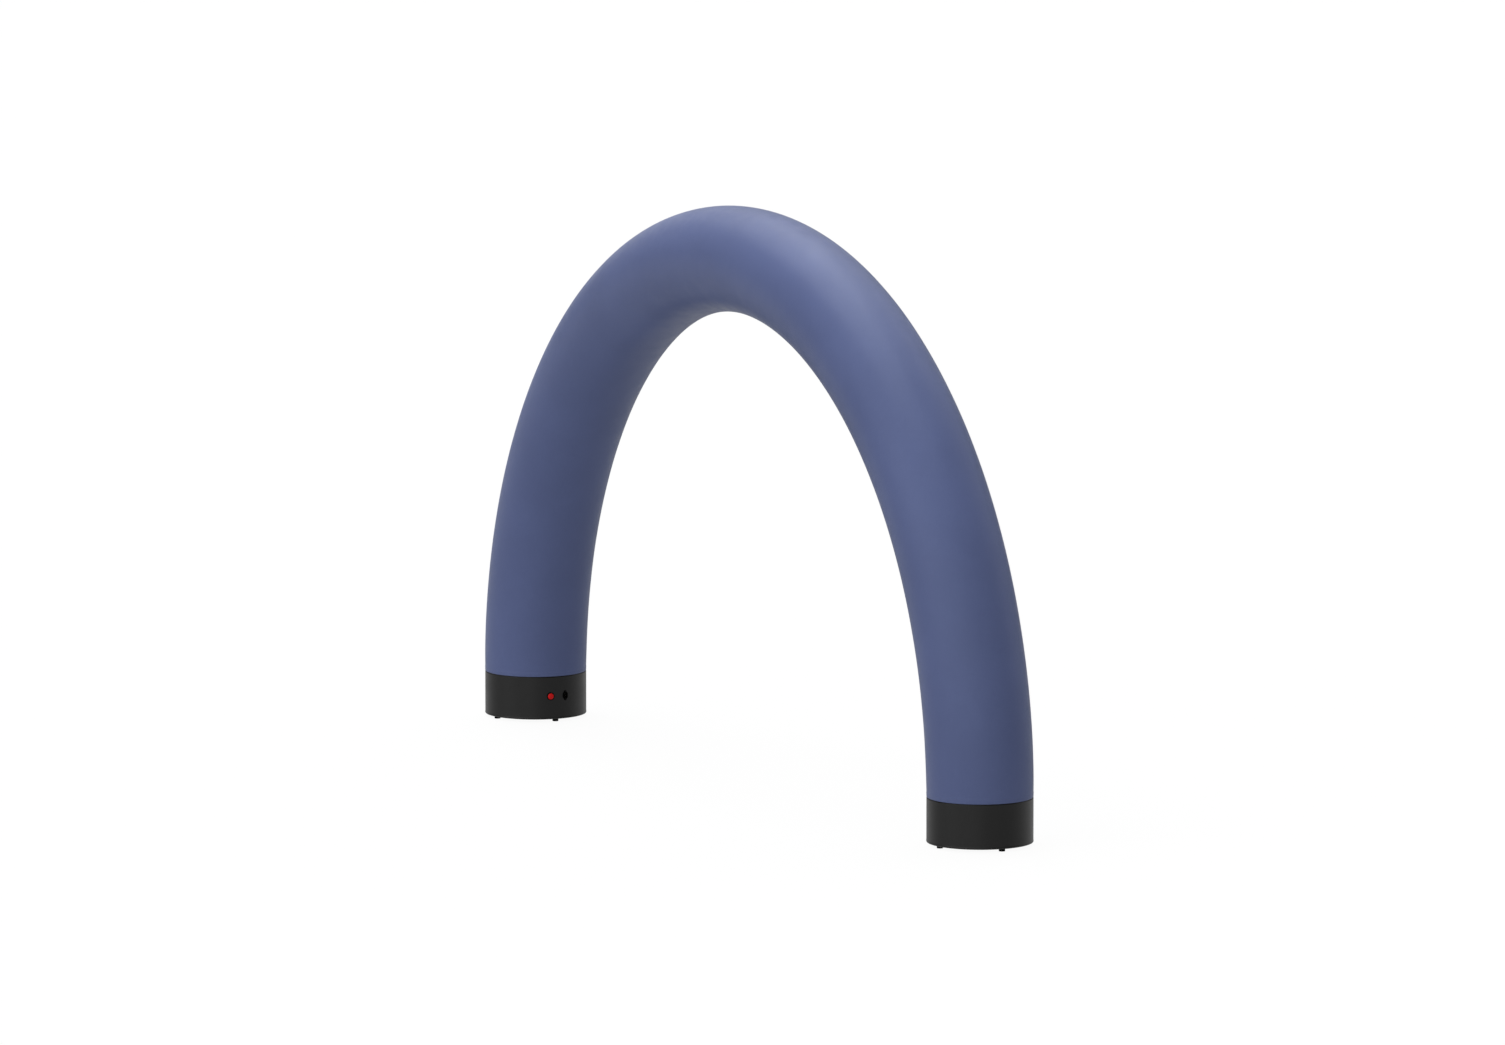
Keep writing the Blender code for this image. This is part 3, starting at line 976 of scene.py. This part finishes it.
def flange_outline():
    """Two straight sides that slant in to rounded tips."""
    half_width = INLET_WIDTH / 2
    tip_centre = INLET_LENGTH / 2 - INLET_TIP
    run = tip_centre - INLET_SHOULDER
    meets = math.acos(INLET_TIP / math.hypot(half_width, run)) - math.atan2(run, half_width)
    upper = arc(0.0, tip_centre, INLET_TIP, meets, math.pi - meets, 14)
    lower = [(-x, -y) for x, y in upper]
    right = [(half_width, -INLET_SHOULDER), (half_width, INLET_SHOULDER)]
    left = [(-x, -y) for x, y in right]
    return [*right, *upper, *left, *lower]


def recess_outline():
    """A box with two corners cut off, so that a plug goes in one way only."""
    x, y, cut = RECESS_WIDTH / 2, RECESS_LENGTH / 2, RECESS_CORNER
    corners = [(-x, -y), (x - cut, -y), (x, -y + cut), (x, y - cut), (x - cut, y), (-x, y)]
    return rounded_outline(corners, EDGE_ROUND, 3)


def build_screws(tree, given):
    """Screw heads at both tips of the flange, each turned its own way."""
    tip = given["Tip Distance"]
    start = combined(tree, 0.0, tip, given["Front"])
    across = combined(tree, 0.0, product(tree, tip, -2.0), 0.0)
    sockets = {"Count": 2, "Start Location": start, "Offset": across}
    line = add_node(tree, "GeometryNodeMeshLine", sockets, mode="OFFSET")
    head = add_node(tree, "GeometryNodeObjectInfo", {"Object": given["Head"]}, transform_space="ORIGINAL")
    number = add_node(tree, "GeometryNodeInputIndex").outputs[0]
    first, further = SCREW_TURNS
    turn = combined(tree, 0.0, 0.0, sums(tree, "MULTIPLY_ADD", number, further, first))
    size = combined(tree, *[given["Head Radius"]] * 3)
    placed = on_points(tree, line.outputs[0], head.outputs["Geometry"], Rotation=turn, Scale=size)
    end_tree(tree, placed.outputs[0], given["Steel"])


def screw_head():
    """A head of radius 1 with a shallow dome and a cross cut into it."""
    dome = [(0.0, 0.16), (0.35, 0.145), (0.70, 0.095), (0.93, 0.02), (1.0, -0.06)]
    shank = [(0.55, -0.50), (0.0, -0.50)]
    long, wide, deep = 0.62, 0.13, 0.22
    cuts = [prism("cross", box_outline(x, y), -deep, 0.5) for x, y in ((long, wide), (wide, long))]
    return carve(turned_mesh("screw_head", dome + shank, SCREW_SIDES), cuts)


class ARCH_OT_add_inlet(bpy.types.Operator):
    """Adds the mains inlet: flange, recess, three pins and two screws"""

    bl_idname = "arch.add_inlet"
    bl_label = "Add Mains Inlet"
    bl_options = {"REGISTER", "UNDO"}

    def execute(self, context):
        controls = context.scene.arch.controls
        spot = on_drum(controls.inlet_angle)
        front = FACE_GAP + INLET_FLANGE
        flange = prism("inlet_housing", flange_outline(), FACE_GAP, front, EDGE_ROUND)
        box = box_outline(BODY_WIDTH / 2, BODY_LENGTH / 2)
        body = prism("body", box, -BODY_DEPTH, front - BODY_INSET)
        housing = carve(flange, [body], "UNION")
        recess = prism("recess", recess_outline(), front - RECESS_DEPTH, front + CUT_PAST)
        housing = carve(housing, [recess])
        housing.transform(spot)
        black = plastic_material("inlet_plastic", controls.plastic, 0.5, 0.04)
        add_piece("inlet_housing", housing, "arch", ["power_inlet"], black)

        width, length, height = PIN_SIZE
        outline = rounded_outline(box_outline(width / 2, length / 2), PIN_ROUND, 3)
        blades = bmesh.new()
        for x, y in PIN_SPOTS:
            blade = prism("pin", outline, 0.0, height, PIN_ROUND)
            blade.transform(Matrix.Translation((x, y, front - RECESS_DEPTH + SEAT_GAP)))
            blades.from_mesh(blade)
        pins = written("inlet_pins", blades)
        pins.transform(spot)
        # The pins' colour is much darker than bright nickel: painted shade for their place deep in the
        # recess.
        shaded_nickel = metal_material("pin_shaded_nickel", (0.09, 0.085, 0.08), 0.38)
        add_piece("inlet_pins", pins, "arch", (), shaded_nickel)

        head = bpy.data.objects.new("screw_head", screw_head())
        screws = grown_mesh(
            "flange_screws",
            build_screws,
            {
                "Head Radius": SCREW_HEAD,
                "Tip Distance": INLET_LENGTH / 2 - INLET_TIP,
                "Front": front + SEAT_GAP,
                "Head": head,
                "Steel": metal_material("screw_black_oxide", (0.020, 0.020, 0.021), 0.5),
            },
        )
        bpy.data.objects.remove(head)
        screws.set_sharp_from_angle(angle=SMOOTH_BELOW)
        screws.transform(spot)
        add_piece("flange_screws", screws, "arch")
        return {"FINISHED"}


# ---- The stage

FLOOR_STRENGTH = (0.945, 0.395, 0.337)  # seen, mirrored, cast: see ray_strength
WORLD_STRENGTH = (1.0, 0.0, 0.196)
FLOOR_DROP = 0.0005
FLOOR_SIDES = 96
WHITE = (1.0, 1.0, 1.0, 1.0)
LIGHT_WIDTH = math.radians(50.0)  # how wide each soft light looks
LIGHT_DISTANCE = 12.0
VIEW_MIDDLE = (0.0133718, 0.0, 1.2416322)  # what the camera is aimed at

# Each soft light: azimuth from -Y towards +X and elevation, in degrees, and strength.
LIGHTS = {
    "top_left": (0.0, 75.0, 0.089),
    "top_rear": (315.0, 75.0, 0.297),
    "high_back": (225.0, 55.0, 0.197),
    "high_rear": (270.0, 55.0, 0.306),
    "middle_back": (225.0, 38.0, 0.037),
    "low_left": (0.0, 20.0, 0.209),
    "low_front": (45.0, 20.0, 0.163),
    "low_fill": (90.0, 20.0, 0.037),
    "low_right": (180.0, 20.0, 0.102),
    "low_back": (240.0, 12.0, 0.073),
    "low_rear": (270.0, 20.0, 0.037),
}


def direction(azimuth, elevation):
    """A unit vector towards an azimuth, counted from -Y towards +X, and an elevation."""
    flat = math.cos(elevation)
    return Vector((math.sin(azimuth) * flat, -math.cos(azimuth) * flat, math.sin(elevation)))


def ray_strength(tree, seen, mirrored, cast):
    """How bright the studio is to the camera, in reflections, and as light on matt surfaces."""
    path = add_node(tree, "ShaderNodeLightPath").outputs
    glossy = product(tree, path["Is Glossy Ray"], mirrored - cast)
    camera = product(tree, path["Is Camera Ray"], seen - cast)
    return total(tree, total(tree, glossy, camera), cast)


def add_floor(stage):
    """A wide pale disc just under the feet, with a faint glow of its own."""
    solid = bmesh.new()
    bmesh.ops.create_circle(solid, cap_ends=True, segments=FLOOR_SIDES, radius=stage.floor_radius)
    bmesh.ops.translate(solid, verts=solid.verts, vec=(0.0, 0.0, CAD_LOW.z - FLOOR_DROP))
    mesh = bpy.data.meshes.new("floor")
    solid.to_mesh(mesh)
    solid.free()
    material, tree, shader = new_material(
        "lit_floor", stage.floor_colour, 0.95, Specular_IOR_Level=0.0, Emission_Color=WHITE
    )
    tree.links.new(ray_strength(tree, *FLOOR_STRENGTH), shader.inputs["Emission Strength"])
    mesh.materials.append(material)
    floor = new_object("floor", mesh)


def add_world():
    """Even light from all round, and a white backdrop where the camera looks past the floor."""
    world = bpy.data.worlds.new("studio")
    world.use_nodes = True
    bpy.context.scene.world = world
    tree = world.node_tree
    tree.nodes.clear()
    sockets = {"Color": WHITE, "Strength": ray_strength(tree, *WORLD_STRENGTH)}
    sky = add_node(tree, "ShaderNodeBackground", sockets)
    add_node(tree, "ShaderNodeOutputWorld", {"Surface": sky.outputs[0]})


def aim(thing, spot, back):
    """Stands a light or a camera at a spot, with its back to a direction."""
    thing.location = spot
    thing.rotation_mode = "QUATERNION"
    thing.rotation_quaternion = back.to_track_quat("Z", "Y")


def add_light(name, azimuth, elevation, strength):
    """A far-off soft box: a sun lamp as wide as the box looks."""
    lamp = bpy.data.lights.new(name, "SUN")
    lamp.energy = strength * math.pi
    lamp.angle = LIGHT_WIDTH
    light = new_object(name, lamp)
    towards = direction(math.radians(azimuth), math.radians(elevation))
    aim(light, towards * LIGHT_DISTANCE, towards)


class ARCH_OT_add_stage(bpy.types.Operator):
    """Adds the pale floor, the soft lights and the camera"""

    bl_idname = "arch.add_stage"
    bl_label = "Add Stage"
    bl_options = {"REGISTER", "UNDO"}

    def execute(self, context):
        stage = context.scene.arch.stage
        add_floor(stage)
        add_world()
        for name, facts in LIGHTS.items():
            add_light(name, *facts)
        lens = bpy.data.cameras.new("camera")
        lens.sensor_width = 36.0
        lens.lens = stage.focal_length
        lens.clip_start, lens.clip_end = 1.0, 400.0
        camera = new_object("camera", lens)
        back = direction(stage.azimuth, stage.elevation)
        aim(camera, Vector(VIEW_MIDDLE) + back * stage.distance, back)
        context.scene.camera = camera
        context.scene.view_settings.view_transform = "Standard"
        context.scene.view_settings.look = "None"
        return {"FINISHED"}


# ---- The panel, and the run


class ARCH_PT_panel(bpy.types.Panel):
    """Lists the arch's settings and the operators that build it"""

    bl_idname = "ARCH_PT_panel"
    bl_label = "Inflatable Arch"
    bl_space_type = "VIEW_3D"
    bl_region_type = "UI"
    bl_category = "Arch"

    def draw(self, context):
        settings = context.scene.arch
        for label, group in (
            ("Cloth", settings.cloth),
            ("Drums", settings.drums),
            ("Controls", settings.controls),
            ("Stage", settings.stage),
        ):
            box = self.layout.box()
            box.label(text=label)
            for name in group.__annotations__:
                box.prop(group, name)
        for operator in OPERATORS:
            self.layout.operator(operator.bl_idname)


GROUPS = (ClothSettings, DrumSettings, ControlSettings, StageSettings, ArchSettings)
OPERATORS = (
    ARCH_OT_add_stage,
    ARCH_OT_add_tube,
    ARCH_OT_add_stitches,
    ARCH_OT_add_drums,
    ARCH_OT_add_feet,
    ARCH_OT_add_button,
    ARCH_OT_add_inlet,
)


def register():
    """Makes the classes and the scene's settings known to Blender."""
    for made in (*GROUPS, *OPERATORS, ARCH_PT_panel):
        bpy.utils.register_class(made)
    bpy.types.Scene.arch = bpy.props.PointerProperty(type=ArchSettings)


def unregister():
    """Takes back what register did."""
    del bpy.types.Scene.arch
    for made in reversed((*GROUPS, *OPERATORS, ARCH_PT_panel)):
        bpy.utils.unregister_class(made)


def main():
    """Builds the stage and every piece."""
    register()
    bpy.ops.arch.add_stage()
    bpy.ops.arch.add_tube()
    bpy.ops.arch.add_stitches()
    bpy.ops.arch.add_drums()
    bpy.ops.arch.add_feet()
    bpy.ops.arch.add_button()
    bpy.ops.arch.add_inlet()


if __name__ == "__main__":
    main()
